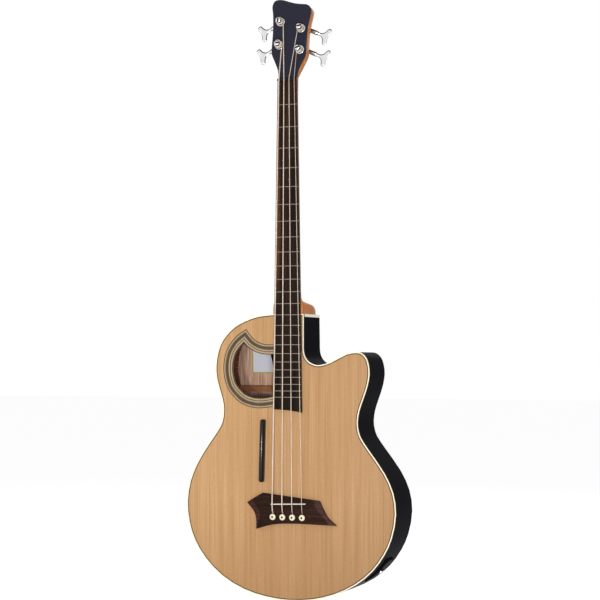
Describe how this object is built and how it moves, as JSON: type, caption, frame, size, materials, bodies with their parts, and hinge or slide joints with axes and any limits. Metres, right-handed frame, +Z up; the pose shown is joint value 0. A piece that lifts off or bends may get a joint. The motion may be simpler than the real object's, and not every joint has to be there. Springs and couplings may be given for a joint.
{
  "type": "acoustic bass guitar",
  "caption": "Cutaway acoustic bass guitar with an offset sound hole, lined fretless board, angled dark bridge, pinned strings and geared tuners.",
  "frame": {"origin": "on the centre line where the nut meets the board, level with the front of the soundboard", "axes": "+Z up along the neck towards the headstock, +X to the treble side with the cutaway, the strings face -Y"},
  "size_m": [0.4597, 0.1314, 1.2523],
  "materials": {
    "top_wood": "clear satin over straight-grained spruce",
    "rosette_wood": "satin, dark band between thin cream lines",
    "back_wood": "clear gloss",
    "side_finish": "gloss black",
    "binding": "polished cream",
    "inner_wood": "bare sanded wood",
    "label_paper": "matt paper, no text",
    "neck_wood": "clear satin",
    "board_wood": "oiled, dark with brown streaks",
    "pin_and_saddle": "polished cream",
    "steel": "plain",
    "bridge_wood": "oiled",
    "gloss_black": "gloss",
    "headstock_face": "satin black",
    "chrome": "polished",
    "string_metal": "wound bronze-coloured metal"
  },
  "bodies": {
    "instrument": {"soundboard": "top_wood", "rosette": "rosette_wood", "back_plate": "back_wood", "side_rim": "side_finish", "binding_front": "binding", "binding_back": "binding", "lining_front": "inner_wood", "lining_back": "inner_wood", "neck_block": "inner_wood", "tail_block": "inner_wood", "cross_brace": "inner_wood", "back_brace_upper": "inner_wood", "back_brace_middle": "inner_wood", "back_brace_lower": "inner_wood", "bridge_plate": "inner_wood", "label": "label_paper", "neck": "neck_wood", "fingerboard": "board_wood", "nut": "headstock_face", "truss_rod": "steel", "neck_bolt_front": "steel", "neck_bolt_back": "steel", "bridge": "bridge_wood", "saddle": "pin_and_saddle", "saddle_pickup": "steel", "thumbrest": "gloss_black", "strap_button_tail": "chrome", "strap_button_heel": "chrome", "jack_plate": "gloss_black", "jack": "chrome", "headstock_veneer": "headstock_face", "bridge_pin_e": "pin_and_saddle", "string_e": "string_metal", "tuner_ferrule_e": "chrome", "tuner_housing_e": "chrome", "bridge_pin_a": "pin_and_saddle", "string_a": "string_metal", "tuner_ferrule_a": "chrome", "tuner_housing_a": "chrome", "bridge_pin_d": "pin_and_saddle", "string_d": "string_metal", "tuner_ferrule_d": "chrome", "tuner_housing_d": "chrome", "bridge_pin_g": "pin_and_saddle", "string_g": "string_metal", "tuner_ferrule_g": "chrome", "tuner_housing_g": "chrome"},
    "key_e": {"tuner_key_e": "chrome"},
    "post_e": {"tuner_post_e": "chrome", "winding_e": "string_metal"},
    "key_a": {"tuner_key_a": "chrome"},
    "post_a": {"tuner_post_a": "chrome", "winding_a": "string_metal"},
    "key_d": {"tuner_key_d": "chrome"},
    "post_d": {"tuner_post_d": "chrome", "winding_d": "string_metal"},
    "key_g": {"tuner_key_g": "chrome"},
    "post_g": {"tuner_post_g": "chrome", "winding_g": "string_metal"}
  },
  "joints": [
    {"name": "key_turn_e", "type": "hinge", "parent": "instrument", "child": "key_e", "pos_m": [-0.02583, 0.0332, 0.07992], "axis": [-0.9114, -0.0644, -0.4064], "continuous": true},
    {"name": "post_turn_e", "type": "hinge", "parent": "instrument", "child": "post_e", "pos_m": [-0.0229, 0.01125, 0.07683], "axis": [0, -0.9877, 0.1564], "continuous": true},
    {"name": "key_turn_a", "type": "hinge", "parent": "instrument", "child": "key_a", "pos_m": [-0.02583, 0.04097, 0.12895], "axis": [-0.9114, -0.0644, -0.4064], "continuous": true},
    {"name": "post_turn_a", "type": "hinge", "parent": "instrument", "child": "post_a", "pos_m": [-0.0229, 0.01902, 0.12585], "axis": [0, -0.9877, 0.1564], "continuous": true},
    {"name": "key_turn_d", "type": "hinge", "parent": "instrument", "child": "key_d", "pos_m": [0.02583, 0.03839, 0.11266], "axis": [0.9114, -0.0644, -0.4064], "continuous": true},
    {"name": "post_turn_d", "type": "hinge", "parent": "instrument", "child": "post_d", "pos_m": [0.0229, 0.01644, 0.10957], "axis": [0, -0.9877, 0.1564], "continuous": true},
    {"name": "key_turn_g", "type": "hinge", "parent": "instrument", "child": "key_g", "pos_m": [0.02583, 0.03126, 0.06766], "axis": [0.9114, -0.0644, -0.4064], "continuous": true},
    {"name": "post_turn_g", "type": "hinge", "parent": "instrument", "child": "post_g", "pos_m": [0.0229, 0.00931, 0.06457], "axis": [0, -0.9877, 0.1564], "continuous": true}
  ],
  "couplings": [
    {"joint": "post_turn_e", "follows": "key_turn_e", "ratio": 0.071429},
    {"joint": "post_turn_a", "follows": "key_turn_a", "ratio": 0.071429},
    {"joint": "post_turn_d", "follows": "key_turn_d", "ratio": 0.071429},
    {"joint": "post_turn_g", "follows": "key_turn_g", "ratio": 0.071429}
  ]
}
